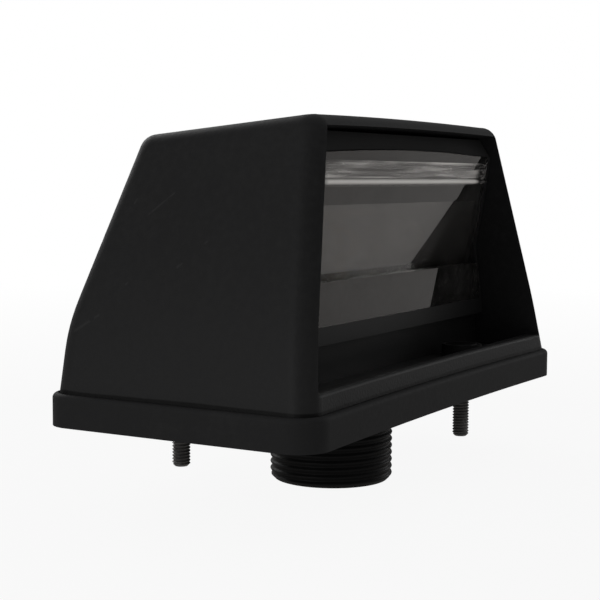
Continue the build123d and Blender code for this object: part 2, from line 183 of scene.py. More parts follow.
def segmentDistance(start, place, first, last):    # distance from a short line, for scuffs
    along = Vector(last) - Vector(first)
    offset = vectorMaths(start, "SUBTRACT", {0: place, 1: first})
    share = vectorMaths(start, "DOT_PRODUCT", {0: offset, 1: along}, "Value")
    share = (share / along.length_squared).clamped()
    foot = vectorMaths(start, "SCALE", {0: along, "Scale": share})
    gap = vectorMaths(start, "SUBTRACT", {0: offset, 1: foot})
    return vectorMaths(start, "LENGTH", {0: gap}, "Value")


def grey(level, tint=0.0):                         # tint adds a little blue
    return (level, level, level * (1 + tint), 1.0)


# black moulded hood

hoodLook = {
    "colour": grey(0.0105, 0.03),
    "worn": grey(0.014, 0.02),
    "cloudNoise": (45.0, 4.0, 0.6),
    "speckleNoise": (620.0, 2.0, 0.5),
    "wear": (0.3, 1.6, 2.6),                       # mean share, then swing by cloud and by speckle
    # dust: painted bounce light from the floor, a lighter colour towards the foot of the end walls
    "dust": grey(0.016, 0.02),
    "bounceLightHeight": 42.0 * mm,                       # painted bounce light thins out from the foot up to here
    "bounceLightEnds": 50.0 * mm,                         # and is painted on the end walls, beyond here along X
    "bounceLightFade": 8.0 * mm,
    "bounceLightSpeckle": (0.7, 0.6),                     # even share, and share by speckle
    # painted shadow in the seam between the hood's foot and the pad's rim
    "seamShadow": grey(0.002),
    "seam": 7.55 * mm,                             # painted shadow along the pad's rim, up to here
    "seamShadowFade": 0.25 * mm,
    "seamShadowSwing": 3.0,
    "roughness": 0.52,
    "roughSwing": (0.12, 0.1, 0.2),                # by cloud, by speckle and by rubs
    "roughLimits": (0.3, 0.9),
    "specular": 0.11,
    "grainNoise": (1500.0, 2.0, 0.55),
    "grainStrength": 0.6,
    "grainDepth": 0.09 * mm,
    "scuffColour": grey(0.030, 0.02),
    "scuffWall": -45.0 * mm,                       # rubs are on the end wall beyond here
    "scuffEdge": (1.1, 0.4, 2.4),                  # reach, then the speckle that frays it
    "scuffRise": (0.34, 5.0),
    "scuffs": [                                    # side view (Y, Z) of start and end, width, in mm
        ((13.1, 43.1), (7.6, 47.6), 0.32),
        ((27.4, 18.6), (20.9, 22.7), 0.55),
        ((3.9, 32.9), (3.1, 33.6), 0.45),
        ((17.2, 45.2), (16.8, 46.0), 0.35),
        ((-1.6, 37.7), (-2.0, 38.1), 0.35),
        ((15.6, 29.0), (15.2, 29.4), 0.35),
    ],
}


def makeScuffs(start, place, speckle, look):       # share of rubbed surface
    flat = vectorMaths(start, "MULTIPLY", {0: place, 1: (0.0, 1.0, 1.0)})
    reach, frayFrom, fray = look["scuffEdge"]
    rub = None
    for first, last, width in look["scuffs"]:
        ends = [Vector((0.0, *end)) * mm for end in (first, last)]
        gap = segmentDistance(start, flat, *ends)
        mark = (reach - gap / (width * mm) - (speckle - frayFrom) * fray).clamped()
        rub = mark if rub is None else start.maths("MAXIMUM", rub, mark)
    onWall = start.maths("LESS_THAN", axis(start, place, "X"), look["scuffWall"])
    return rub * rise(speckle, *look["scuffRise"]) * onWall


def makeHoodMaterial(look):
    material, start = newMaterial("hoodPlastic")
    place = objectPlace(start)
    x = axis(start, place, "X")
    z = axis(start, place, "Z")
    cloud = noise(start, place, look["cloudNoise"])
    speckle = noise(start, place, look["speckleNoise"])
    grain = noise(start, place, look["grainNoise"])
    mean, byCloud, bySpeckle = look["wear"]
    worn = (mean + swing(cloud, byCloud) + swing(speckle, bySpeckle)).clamped()
    colour = mixColour(start, worn, look["colour"], look["worn"])
    # painted bounce light: lighter towards the foot of the end walls, speckled
    ends = ((start.maths("ABSOLUTE", x) - look["bounceLightEnds"]) / look["bounceLightFade"]).clamped()
    even, spotted = look["bounceLightSpeckle"]
    dusty = (1 - z / look["bounceLightHeight"]).clamped() * ends * (even + speckle * spotted)
    colour = mixColour(start, dusty.clamped(), colour, look["dust"])
    rub = makeScuffs(start, place, speckle, look)
    colour = mixColour(start, rub, colour, look["scuffColour"])
    # painted shadow along the seam above the pad's rim
    seamShadowed = ((look["seam"] - z) / look["seamShadowFade"] + swing(cloud, look["seamShadowSwing"])).clamped()
    colour = mixColour(start, seamShadowed, colour, look["seamShadow"])
    byCloud, bySpeckle, byRub = look["roughSwing"]
    roughness = look["roughness"] + swing(cloud, byCloud) + swing(speckle, bySpeckle) + rub * byRub
    finishMaterial(start, principled(start, {
        "Base Color": colour,
        "Roughness": roughness.clamped(*look["roughLimits"]),
        "Specular IOR Level": look["specular"],
        "Normal": bump(start, grain, look["grainStrength"], look["grainDepth"]),
    }))
    return material


# rubber pad and seal

rubberLook = {
    "colour": grey(0.0135, 0.03),
    "dust": grey(0.026),
    "dustShare": 0.6,
    "cloudNoise": (70.0, 4.0, 0.65),
    "cloudSwing": 1.6,
    "speckNoise": (900.0, 2.0, 0.6),
    "speckFrom": 0.52,
    "speckGain": 1.2,
    "roughness": 0.66,
    "roughSwing": 0.16,
    "roughLimits": (0.4, 0.95),
    "specular": 0.12,
    "grainNoise": (1300.0, 3.0, 0.6),
    "grainStrength": 0.4,
    "grainDepth": 0.06 * mm,
}


def makeRubberMaterial(name, look):
    material, start = newMaterial(name)
    place = objectPlace(start)
    cloud = noise(start, place, look["cloudNoise"])
    speck = noise(start, place, look["speckNoise"])
    grain = noise(start, place, look["grainNoise"])
    dusty = swing(cloud, look["cloudSwing"]) + (speck - look["speckFrom"]) * look["speckGain"]
    dusty = dusty.clamped() * look["dustShare"]
    roughness = look["roughness"] + swing(speck, look["roughSwing"])
    finishMaterial(start, principled(start, {
        "Base Color": mixColour(start, dusty, look["colour"], look["dust"]),
        "Roughness": roughness.clamped(*look["roughLimits"]),
        "Specular IOR Level": look["specular"],
        "Normal": bump(start, grain, look["grainStrength"], look["grainDepth"]),
    }))
    return material


# satin black body and spigot

bodyLook = {
    "colour": grey(0.0125, 0.03),
    "worn": grey(0.016),
    "wornRise": (1 / 3, 1.8),
    "cloudNoise": (60.0, 3.0, 0.6),
    "roughness": 0.45,
    "roughSwing": 0.18,
    "roughLimits": (0.2, 1.0),
    "specular": 0.12,
    "grainNoise": (2400.0, 2.0, 0.5),
    "grainStrength": 0.25,
    "grainDepth": 0.03 * mm,
    "frame": grey(0.016),                          # matt frame over the window, in a lighter colour: painted light lifting the shade under the hood's lip
    "frameFrom": 55.4 * mm,                        # from this height up
    "frameRough": 0.5,                             # and so much rougher
    "spigot": grey(0.006),                         # below the pad's underside
}


def makeBodyMaterial(look):
    material, start = newMaterial("bodyPlastic")
    place = objectPlace(start)
    z = axis(start, place, "Z")
    cloud = noise(start, place, look["cloudNoise"])
    grain = noise(start, place, look["grainNoise"])
    onFrame = start.maths("GREATER_THAN", z, look["frameFrom"])
    below = start.maths("LESS_THAN", z, 0.0)
    colour = mixColour(start, rise(cloud, *look["wornRise"]), look["colour"], look["worn"])
    colour = mixColour(start, below, colour, look["spigot"])
    # painted light: a lighter colour on the frame in the shade under the lip
    colour = mixColour(start, onFrame, colour, look["frame"])
    roughness = look["roughness"] + swing(cloud, look["roughSwing"]) + onFrame * look["frameRough"]
    finishMaterial(start, principled(start, {
        "Base Color": colour,
        "Roughness": roughness.clamped(*look["roughLimits"]),
        "Specular IOR Level": look["specular"],
        "Normal": bump(start, grain, look["grainStrength"], look["grainDepth"]),
    }))
    return material


# clear lens with a stippled, dark back

lensLook = {
    "front": (0.90, 0.875, 0.855, 1.0),            # tint of what the front lets through
    "back": (0.06, 0.058, 0.056, 1.0),             # and of what the back lets through
    "sheen": (1.0, 0.94, 0.89, 1.0),
    "ior": 1.49,
    "stipple": 0.16,                               # roughness of the back
    "ledge": (29.0 * mm, 0.08 * mm, 0.16),         # the step's height, reach and roughness
    "bendY": -18.15 * mm,                          # where the brow starts
    "bendZ": 45.4 * mm,
    "lean": 17.3,                                  # in degrees, below the brow
    "backFrom": 1.32 * mm,                         # the back lies deeper than this
    "shadeBackingColour": grey(0.012),
    "shadeBacked": [(0.0, 29.0), (45.4, 49.1), (54.3, 60.0)],   # heights in mm with a dark backing: painted shade, partly the dark parts behind the lens
    "smearNoise": (85.0, 4.0, 0.6),
    "smearRough": (0.4, 0.04),                     # where it starts, and its gain
    "speckNoise": (520.0, 3.0, 0.6),
    "film": 0.013,                                 # share of thin dust
    "filmSwing": (0.9, 4.2, 3.4),                  # mean, then swing by smear and by speck
    "filmMost": 3.0,
    "filmColour": (0.74, 0.71, 0.68, 1.0),
    "filmRough": 0.5,
    "filmSpecular": 0.3,
    "motes": 0.16,                                 # share of dust in single grains
    "moteNoise": (780.0, 1.0, 0.5),
    "moteRise": (0.70, 12.0),
    "moteSmear": (0.1875, 1.6),
    "bead": (49.8, 0.75, 1.6),                     # painted highlight on the bead: height and half width in mm, edge
    "streakHighlights": (50.6, 54.2, 0.86),                 # painted highlight streaks: from and to in mm, share of pale film
    "streakNoise": (520.0, 2.0, 0.5),
    "streakStretch": (0.05, 0.3, 1.0),
    "streakRise": (0.40, 4.2),
    "highlightEnd": 40.5 * mm,                          # where the painted bead and streak highlights end along X
    "highlightFade": 3.0 * mm,
}


def makePaintedHighlights(start, place, look):            # painted highlights on the bead and in streaks along the brow
    height, half, edge = look["bead"]
    x = axis(start, place, "X")
    z = axis(start, place, "Z")
    bead = ((1 - start.maths("ABSOLUTE", z - height * mm) / (half * mm)) * edge).clamped()
    low, high, share = look["streakHighlights"]
    drawnOut = stretched(start, place, look["streakStretch"])
    streak = noise(start, drawnOut, look["streakNoise"])
    pale = within(start, z, low * mm, high * mm) * rise(streak, *look["streakRise"]) * share
    ends = ((look["highlightEnd"] - start.maths("ABSOLUTE", x)) / look["highlightFade"]).clamped()
    return (bead + pale) * ends


def makeLensMaterial(look):
    material, start = newMaterial("lensClear")
    place = objectPlace(start)
    y = axis(start, place, "Y")
    z = axis(start, place, "Z")
    smear = noise(start, place, look["smearNoise"])
    speck = noise(start, place, look["speckNoise"])
    mote = noise(start, place, look["moteNoise"])

    depth = y - look["bendY"] - (look["bendZ"] - z) * math.tan(math.radians(look["lean"]))
    back = start.maths("GREATER_THAN", depth, look["backFrom"])
    front = 1 - back
    # bands with a dark backing: painted shade, partly the dark parts behind the lens
    shadeBacked = None
    for low, high in look["shadeBacked"]:
        band = within(start, z, low * mm, high * mm)
        shadeBacked = band if shadeBacked is None else shadeBacked + band

    mean, bySmear, bySpeck = look["filmSwing"]
    film = mean + swing(smear, bySmear) + swing(speck, bySpeck)
    film = film.clamped(0.0, look["filmMost"]) * look["film"]
    grains = rise(mote, *look["moteRise"]) * rise(smear, *look["moteSmear"]) * look["motes"]
    # the film also carries the painted highlights of bead and streaks
    film = (film + (grains + makePaintedHighlights(start, place, look)) * front).clamped()

    height, reach, ledgeRough = look["ledge"]
    ledge = start.maths("LESS_THAN", start.maths("ABSOLUTE", z - height), reach)
    roughness = rise(smear, *look["smearRough"]) * front
    roughness = roughness + back * look["stipple"] + ledge * ledgeRough
    glass = principled(start, {
        "Base Color": mixColour(start, back, look["front"], look["back"]),
        "Roughness": roughness.clamped(),
        "IOR": look["ior"],
        "Specular Tint": look["sheen"],
        "Transmission Weight": 1.0,
    })
    # dark backing: painted shade behind the lens's back
    shadeBacking = start.node("ShaderNodeBsdfDiffuse", None, {"Color": look["shadeBackingColour"]})
    # pale shader for the dust film and for the painted highlights
    dust = principled(start, {
        "Base Color": look["filmColour"],
        "Roughness": look["filmRough"],
        "Specular IOR Level": look["filmSpecular"],
    })
    clear = mixShader(start, back * shadeBacked, glass, shadeBacking)
    finishMaterial(start, mixShader(start, film, clear, dust))
    return material


# bulb glass

bulbLook = {
    "colour": (0.97, 0.97, 0.96, 1.0),
    "ior": 1.5,
    "rippleNoise": (160.0, 2.0, 0.5),
    "rippleRough": 0.03,
}


def makeBulbMaterial(look):
    material, start = newMaterial("bulbGlass")
    ripple = noise(start, objectPlace(start), look["rippleNoise"])
    finishMaterial(start, principled(start, {
        "Base Color": look["colour"],
        "Roughness": ripple * look["rippleRough"],
        "IOR": look["ior"],
        "Transmission Weight": 1.0,
    }))
    return material


# metals

metalLooks = {
    "contact_brass": {
        "name": "contactBrass",
        "colour": (0.62, 0.44, 0.17, 1.0),
        "tarnish": (0.26, 0.16, 0.07, 1.0),
        "roughness": 0.34,
    },
    "screw_steel": {
        "name": "zincSteel",
        "colour": (0.50, 0.50, 0.48, 1.0),
        "tarnish": (0.27, 0.27, 0.26, 1.0),
        "roughness": 0.36,
    },
    "cap_nickel": {
        "name": "capNickel",
        "colour": (0.52, 0.50, 0.47, 1.0),
        "tarnish": (0.30, 0.28, 0.26, 1.0),
        "roughness": 0.34,
    },
    "filament_wire": {
        "name": "filamentWire",
        "colour": (0.26, 0.25, 0.24, 1.0),
        "tarnish": (0.12, 0.12, 0.12, 1.0),
        "roughness": 0.45,
    },
    "stud_steel": {
        "name": "blackenedSteel",
        "colour": (0.21, 0.205, 0.20, 1.0),
        "tarnish": (0.10, 0.097, 0.094, 1.0),
        "roughness": 0.50,
        "inside": grey(0.012),                     # what stands above the pad's underside
    },
}
metalWear = {                                      # the same on every metal
    "patchNoise": (240.0, 4.0, 0.65),
    "stainRise": (0.45, 2.6),
    "stainRough": 0.18,
    "fineNoise": (2600.0, 2.0, 0.5),
    "fineRough": 0.1,
    "fineStrength": 0.15,
    "fineDepth": 0.02 * mm,
    "roughLimits": (0.1, 0.9),
    "insideFade": 1.0 * mm,                        # height over which the metal turns dark
}


def makeMetalMaterial(look, wear):
    material, start = newMaterial(look["name"])
    place = objectPlace(start)
    patch = noise(start, place, wear["patchNoise"])
    fine = noise(start, place, wear["fineNoise"])
    stain = rise(patch, *wear["stainRise"])
    colour = mixColour(start, stain, look["colour"], look["tarnish"])
    if "inside" in look:
        above = (axis(start, place, "Z") / wear["insideFade"] + 0.5).clamped()
        colour = mixColour(start, above, colour, look["inside"])
    roughness = look["roughness"] + stain * wear["stainRough"] + swing(fine, wear["fineRough"])
    finishMaterial(start, principled(start, {
        "Base Color": colour,
        "Metallic": 1.0,
        "Roughness": roughness.clamped(*wear["roughLimits"]),
        "Normal": bump(start, fine, wear["fineStrength"], wear["fineDepth"]),
    }))
    return material


# pressed insulating board, faint fibres along X

boardLook = {
    "light": (0.22, 0.115, 0.055, 1.0),
    "dark": (0.10, 0.05, 0.026, 1.0),
    "fibreStretch": (0.2, 1.0, 1.0),
    "fibreNoise": (900.0, 4.0, 0.7),
    "fibreRise": (0.3, 2.0),
    "fibreStrength": 0.2,
    "fibreDepth": 0.03 * mm,
    "roughness": 0.5,
    "roughSwing": 0.3,
}


def makeBoardMaterial(look):
    material, start = newMaterial("carrierBoard")
    drawnOut = stretched(start, objectPlace(start), look["fibreStretch"])
    fibre = noise(start, drawnOut, look["fibreNoise"])
    pale = rise(fibre, *look["fibreRise"])
    finishMaterial(start, principled(start, {
        "Base Color": mixColour(start, pale, look["dark"], look["light"]),
        "Roughness": (look["roughness"] + swing(fibre, look["roughSwing"])).clamped(),
        "Normal": bump(start, fibre, look["fibreStrength"], look["fibreDepth"]),
    }))
    return material


slotMaterials = {
    "hood_plastic": makeHoodMaterial(hoodLook),
    "pad_rubber": makeRubberMaterial("padRubber", rubberLook),
    "seal_rubber": makeRubberMaterial("sealRubber", rubberLook),
    "body_plastic": makeBodyMaterial(bodyLook),
    "lens_clear": makeLensMaterial(lensLook),
    "bulb_glass": makeBulbMaterial(bulbLook),
    "carrier_board": makeBoardMaterial(boardLook),
}
for slotName, look in metalLooks.items():
    slotMaterials[slotName] = makeMetalMaterial(look, metalWear)

for subpart in record["subparts"]:
    mesh = nodes[subpart["node"]].data
    mesh.materials.clear()
    mesh.materials.append(slotMaterials[subpart["material_slot"]])
print("materials made:", len(slotMaterials))


# mesh helpers

def addObject(name, data):
    made = bpy.data.objects.new(name, data)
    bpy.context.scene.collection.objects.link(made)
    return made


def settle(made, slotName, *replaced):             # rides on the lamp and stands for its CAD nodes
    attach(made, "root")
    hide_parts(*replaced)


def lathe(shape, profile, around, centre):         # closed rings from (radius, height) pairs
    rings = []
    for radius, height in profile:
        ring = []
        for step in range(around):
            angle = 2 * math.pi * step / around
            spot = Vector((math.cos(angle) * radius, math.sin(angle) * radius, height))
            ring.append(shape.verts.new(spot + centre))
        rings.append(ring)
    for lower, upper in zip(rings, rings[1:]):
        for step in range(around):
            after = (step + 1) % around
            shape.faces.new((lower[step], lower[after], upper[after], upper[step]))
    return rings


def meshFrom(shape, name, material, smoothAngle):  # merged, facing outwards, sharp past the angle
    bmesh.ops.remove_doubles(shape, verts=shape.verts, dist=weld)
    bmesh.ops.recalc_face_normals(shape, faces=shape.faces)
    for edge in shape.edges:
        edge.smooth = edge.calc_face_angle(0.0) < math.radians(smoothAngle)
    for face in shape.faces:
        face.smooth = True
        face.material_index = 0
    mesh = bpy.data.meshes.new(name)
    shape.to_mesh(mesh)
    shape.free()
    mesh.materials.append(material)
    return mesh


def newTree(name, sockets):
    tree = bpy.data.node_groups.new(name, "GeometryNodeTree")
    for label, kind in sockets:
        tree.interface.new_socket(name=label, in_out="INPUT", socket_type=kind)
    tree.interface.new_socket(name="Geometry", in_out="OUTPUT", socket_type="NodeSocketGeometry")
    start = Wire(tree)
    given = {label: start.node("NodeGroupInput", None, None, label) for label, kind in sockets}
    return tree, start, given


def closeTree(start, geometry, material):          # realize, set the material, hand out
    solid = start.node("GeometryNodeRealizeInstances", None, {"Geometry": geometry})
    solid = start.node("GeometryNodeSetMaterial", None, {"Geometry": solid, "Material": material})
    start.node("NodeGroupOutput", None, {"Geometry": solid})


def growMesh(name, tree, values):                  # runs a tree on a holder and keeps a plain mesh
    holder = addObject(name + "Holder", bpy.data.meshes.new(name + "Holder"))
    modifier = holder.modifiers.new("grow", "NODES")
    modifier.node_group = tree
    for socket in tree.interface.items_tree:
        if socket.in_out == "INPUT" and socket.name in values:
            modifier[socket.identifier] = values[socket.name]
    bpy.context.view_layer.update()
    depsgraph = bpy.context.evaluated_depsgraph_get()
    mesh = bpy.data.meshes.new_from_object(holder.evaluated_get(depsgraph), depsgraph=depsgraph)
    bpy.data.objects.remove(holder)
    return mesh


# thread: a grid whose rows follow the helix

threadShape = {
    "rootFlat": 0.14,                              # share of the pitch that is flat at the root
    "flanks": 0.72,                                # share that slopes, the rest is crest
    "seamNudge": 0.0001,
}


def makeThreadTree(shape):
    tree, start, given = newTree("threadSurface", [
        ("Crest Radius", "NodeSocketFloat"),
        ("Depth", "NodeSocketFloat"),
        ("Pitch", "NodeSocketFloat"),
        ("Length", "NodeSocketFloat"),
        ("End Chamfer", "NodeSocketFloat"),
        ("Around", "NodeSocketInt"),
        ("Rows Per Turn", "NodeSocketInt"),
        ("Foot", "NodeSocketVector"),
        ("Material", "NodeSocketMaterial"),
    ])
    turns = start.maths("CEIL", given["Length"] / given["Pitch"]) + 1
    grid = start.node("GeometryNodeMeshGrid", None, {
        "Size X": 1.0,
        "Size Y": 1.0,
        "Vertices X": given["Around"] + 1,
        "Vertices Y": turns * given["Rows Per Turn"] + 1,
    })
    spot = start.node("GeometryNodeInputPosition")
    turn = axis(start, spot, "X") + 0.5
    wound = (axis(start, spot, "Y") + 0.5) * turns
    height = ((wound + turn - 1) * given["Pitch"]).clamped(0.0, given["Length"])
    share = start.maths("FRACT", wound + shape["seamNudge"])
    ridge = start.maths("ABSOLUTE", share - 0.5) * 2
    ridge = ((ridge - shape["rootFlat"]) / shape["flanks"]).clamped()
    root = given["Crest Radius"] - given["Depth"]
    radius = root + given["Depth"] * ridge
    radius = start.maths("MINIMUM", radius, given["Crest Radius"] - given["End Chamfer"] + height)
    radius = start.maths("MINIMUM", radius, root + given["Length"] - height)
    angle = turn * (2 * math.pi)
    place = start.node("ShaderNodeCombineXYZ", None, {
        "X": start.maths("COSINE", angle) * radius,
        "Y": start.maths("SINE", angle) * radius,
        "Z": height,
    })
    place = vectorMaths(start, "ADD", {0: place, 1: given["Foot"]})
    wall = start.node("GeometryNodeSetPosition", None, {"Geometry": grid, "Position": place})
    wall = start.node("GeometryNodeMergeByDistance", None, {"Geometry": wall, "Distance": weld})
    closeTree(start, wall, given["Material"])
    return tree


threadTree = makeThreadTree(threadShape)


def addThread(shape, name, sizes, crest, foot, material):   # from the foot up to the pad
    wall = growMesh(name, threadTree, {
        "Crest Radius": crest,
        "Depth": sizes["depth"],
        "Pitch": sizes["pitch"],
        "Length": -foot.z,
        "End Chamfer": sizes["endChamfer"],
        "Around": sizes["around"],
        "Rows Per Turn": sizes["rowsPerTurn"],
        "Foot": foot,
        "Material": material,
    })
    shape.from_mesh(wall)
    bpy.data.meshes.remove(wall)


# cable spigot with its gland thread

spigotSizes = {
    "pitch": 1.5875 * mm,
    "depth": 0.50 * mm,
    "endChamfer": 1.0 * mm,
    "register": 11.5 * mm,
    "around": 144,
    "rowsPerTurn": 8,
    "smoothAngle": 50,
}


def makeSpigot(sizes):
    low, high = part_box("spigot")
    middle = (low + high) / 2
    centre = Vector((middle.x, middle.y, 0.0))
    crest = mounts["cable_spigot"]["dims"]["r_mm"] * mm
    bore = mounts["spigot_bore"]["dims"]["r_mm"] * mm
    collar = (high.x - low.x) / 2
    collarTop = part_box("body")[0].z
    material = slotMaterials["body_plastic"]
    shape = bmesh.new()
    foot = centre + Vector((0.0, 0.0, low.z))
    addThread(shape, "spigotThread", sizes, crest, foot, material)
    lathe(shape, [
        (crest - sizes["depth"], 0.0),
        (collar, 0.0),
        (collar, collarTop),
        (sizes["register"], collarTop),
        (sizes["register"], high.z),
        (bore, high.z),
        (bore, low.z),
        (crest - sizes["endChamfer"], low.z),
    ], sizes["around"], centre)
    mesh = meshFrom(shape, "threadedSpigot", material, sizes["smoothAngle"])
    made = addObject("threadedSpigot", mesh)
    settle(made, "body_plastic", "spigot")
    return made


spigot = makeSpigot(spigotSizes)
print("spigot thread:", len(spigot.data.polygons), "faces")


# mounting studs with their threads and hex heads

studSizes = {
    "pitch": 0.7 * mm,
    "depth": 0.30 * mm,
    "endChamfer": 0.6 * mm,
    "tipFace": 0.98,                               # inner ring of the tip, as a share of its radius
    "shank": 2.5 * mm,
    "headSides": 6,
    "headFlats": 7.0 * mm,
    "headHeight": 2.8 * mm,
    "headChamfer": 0.35 * mm,
    "around": 40,
    "rowsPerTurn": 8,
    "smoothAngle": 40,
}


def makeStuds(sizes):
    low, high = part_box("mounting_studs")
    halfHead = sizes["headFlats"] / 2
    corner = halfHead / math.cos(math.pi / sizes["headSides"])
    crest = mounts["mounting_studs"]["dims"]["stud_r_mm"] * mm
    tip = crest - sizes["endChamfer"]
    material = slotMaterials["stud_steel"]
    headFoot = high.z - sizes["headHeight"]
    shape = bmesh.new()
    for side in (-1, 1):
        centre = Vector((side * (high.x - corner), -side * (high.y - halfHead), 0.0))
        foot = centre + Vector((0.0, 0.0, low.z))
        addThread(shape, "studThread", sizes, crest, foot, material)
        shank = lathe(shape, [
            (crest - sizes["depth"], 0.0),
            (sizes["shank"], 0.0),
            (sizes["shank"], headFoot),
        ], sizes["around"], centre)
        shape.faces.new(shank[-1])
        end = [(tip, low.z), (tip * sizes["tipFace"], low.z)]
        shape.faces.new(lathe(shape, end, sizes["around"], centre)[-1])
        head = lathe(shape, [
            (corner, headFoot),
            (corner, high.z - sizes["headChamfer"]),
            (corner - sizes["headChamfer"], high.z),
        ], sizes["headSides"], centre)
        shape.faces.new(head[0])
        shape.faces.new(head[-1])
    mesh = meshFrom(shape, "threadedStuds", material, sizes["smoothAngle"])
    made = addObject("threadedStuds", mesh)
    settle(made, "stud_steel", "mounting_studs")
    return made


studs = makeStuds(studSizes)
print("stud threads:", len(studs.data.polygons), "faces")


# cross-head screws, placed by one tree

hoodScrewSizes = {
    "headRadius": 3.9 * mm,
    "headHeight": 2.4 * mm,
    "shankRadius": 2.0 * mm,
    "shankLength": 10.0 * mm,
    "crossLength": 4.2 * mm,
    "crossWidth": 0.95 * mm,
    "crossDepth": 1.5 * mm,
    "turns": (0.35, 1.1),
}
carrierScrewSizes = {
    "headRadius": 2.75 * mm,
    "headHeight": 1.8 * mm,
    "shankRadius": 1.5 * mm,
    "shankLength": 8.0 * mm,
    "crossLength": 3.0 * mm,
    "crossWidth": 0.75 * mm,
    "crossDepth": 1.1 * mm,
    "turns": (0.2, 0.8),
}
panHeadShape = {
    "around": 48,
    "arcSteps": 6,
    "middle": 0.01 * mm,                           # radius of the smallest ring at either end
    "flat": 0.5,                                   # ring on the flat top, as a share of the radius
    "crossTaper": 0.55,                            # share of its length left at the bottom
    "smoothAngle": 45,
}


def makePanHead(name, sizes, shared, material):    # pan head with a pressed cross, axis along +Z
    radius = sizes["headRadius"]
    height = sizes["headHeight"]
    shank = sizes["shankRadius"]
    curve = height / 2
    profile = [
        (shared["middle"], -sizes["shankLength"]),
        (shank, -sizes["shankLength"]),
        (shank, 0.0),
        (radius, 0.0),
    ]
    for step in range(shared["arcSteps"] + 1):
        angle = math.pi / 2 * step / shared["arcSteps"]
        inward = curve * (1 - math.cos(angle))
        profile.append((radius - inward, height - curve * (1 - math.sin(angle))))
    profile += [(radius * shared["flat"], height), (shared["middle"], height)]
    shape = bmesh.new()
    rings = lathe(shape, profile, shared["around"], Vector())
    shape.faces.new(rings[0])
    shape.faces.new(rings[-1])
    head = addObject(name, meshFrom(shape, name, material, shared["smoothAngle"]))
    cutter = bmesh.new()
    span = (sizes["crossLength"], sizes["crossWidth"], sizes["crossDepth"] * 2)
    for quarter in (0, 1):
        tool = bmesh.ops.create_cube(cutter, size=1.0)["verts"]
        bmesh.ops.scale(cutter, verts=tool, vec=span)
        for corner in tool:
            if corner.co.z < 0:
                corner.co.x *= shared["crossTaper"]
        turned = Matrix.Rotation(quarter * math.pi / 2, 3, "Z")
        bmesh.ops.rotate(cutter, verts=tool, matrix=turned)
        bmesh.ops.translate(cutter, verts=tool, vec=(0.0, 0.0, height))
    crossMesh = bpy.data.meshes.new(name + "Cross")
    cutter.to_mesh(crossMesh)
    cutter.free()
    cross = addObject(name + "Cross", crossMesh)
    cut = head.modifiers.new("cross", "BOOLEAN")
    cut.object = cross
    cut.operation = "DIFFERENCE"
    cut.use_self = True
    return head, cross


def makePlacingTree():
    tree, start, given = newTree("screwPlaces", [
        ("First", "NodeSocketVector"),
        ("Last", "NodeSocketVector"),
        ("First Turn", "NodeSocketRotation"),
        ("Last Turn", "NodeSocketRotation"),
        ("Screw", "NodeSocketObject"),
        ("Material", "NodeSocketMaterial"),
    ])
    screw = start.node("GeometryNodeObjectInfo", None, {"Object": given["Screw"]}, "Geometry")
    line = start.node("GeometryNodeMeshLine", {"mode": "END_POINTS"}, {
        "Count": 2,
        "Start Location": given["First"],
        "Offset": given["Last"],
    })
    number = start.node("GeometryNodeInputIndex")
    turn = start.node("GeometryNodeSwitch", {"input_type": "ROTATION"}, {
        "Switch": number,
        "False": given["First Turn"],
        "True": given["Last Turn"],
    })
    placed = start.node("GeometryNodeInstanceOnPoints", None,
                        {"Points": line, "Instance": screw, "Rotation": turn})
    closeTree(start, placed, given["Material"])
    return tree


placingTree = makePlacingTree()


def makeScrews(name, node, sizes, tilt):           # tilt turns +Z to the way the heads face
    material = slotMaterials["screw_steel"]
    low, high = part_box(node)
    facingRear = tilt < 0
    seat = (high.y - sizes["headHeight"]) if facingRear else (low.y + sizes["headHeight"])
    z = (low.z + high.z) / 2
    x = high.x - sizes["headRadius"]
    head, cross = makePanHead(name + "Head", sizes, panHeadShape, material)
    upright = Matrix.Rotation(tilt, 4, "X")
    turns = [(upright @ Matrix.Rotation(turn, 4, "Z")).to_euler() for turn in sizes["turns"]]
    mesh = growMesh(name, placingTree, {
        "First": Vector((-x, seat, z)),
        "Last": Vector((x, seat, z)),
        "First Turn": turns[0],
        "Last Turn": turns[1],
        "Screw": head,
        "Material": material,
    })
    bpy.data.objects.remove(cross)
    bpy.data.objects.remove(head)
    made = addObject(name, mesh)
    settle(made, "screw_steel", node)
    return made


hoodScrews = makeScrews("hoodScrews", "hood_screws", hoodScrewSizes, -math.pi / 2)
carrierScrews = makeScrews("carrierScrews", "carrier_screws", carrierScrewSizes, math.pi / 2)
print("screws:", len(hoodScrews.data.polygons) + len(carrierScrews.data.polygons), "faces")


# coiled filaments

coilSizes = {
    "radius": 0.24 * mm,
    "wire": 0.055 * mm,
    "turns": 26.0,
    "length": 8.0 * mm,
    "lead": 0.12 * mm,
    "stepsPerTurn": 14,
    "wireSides": 8,
    "leadSides": 12,
}


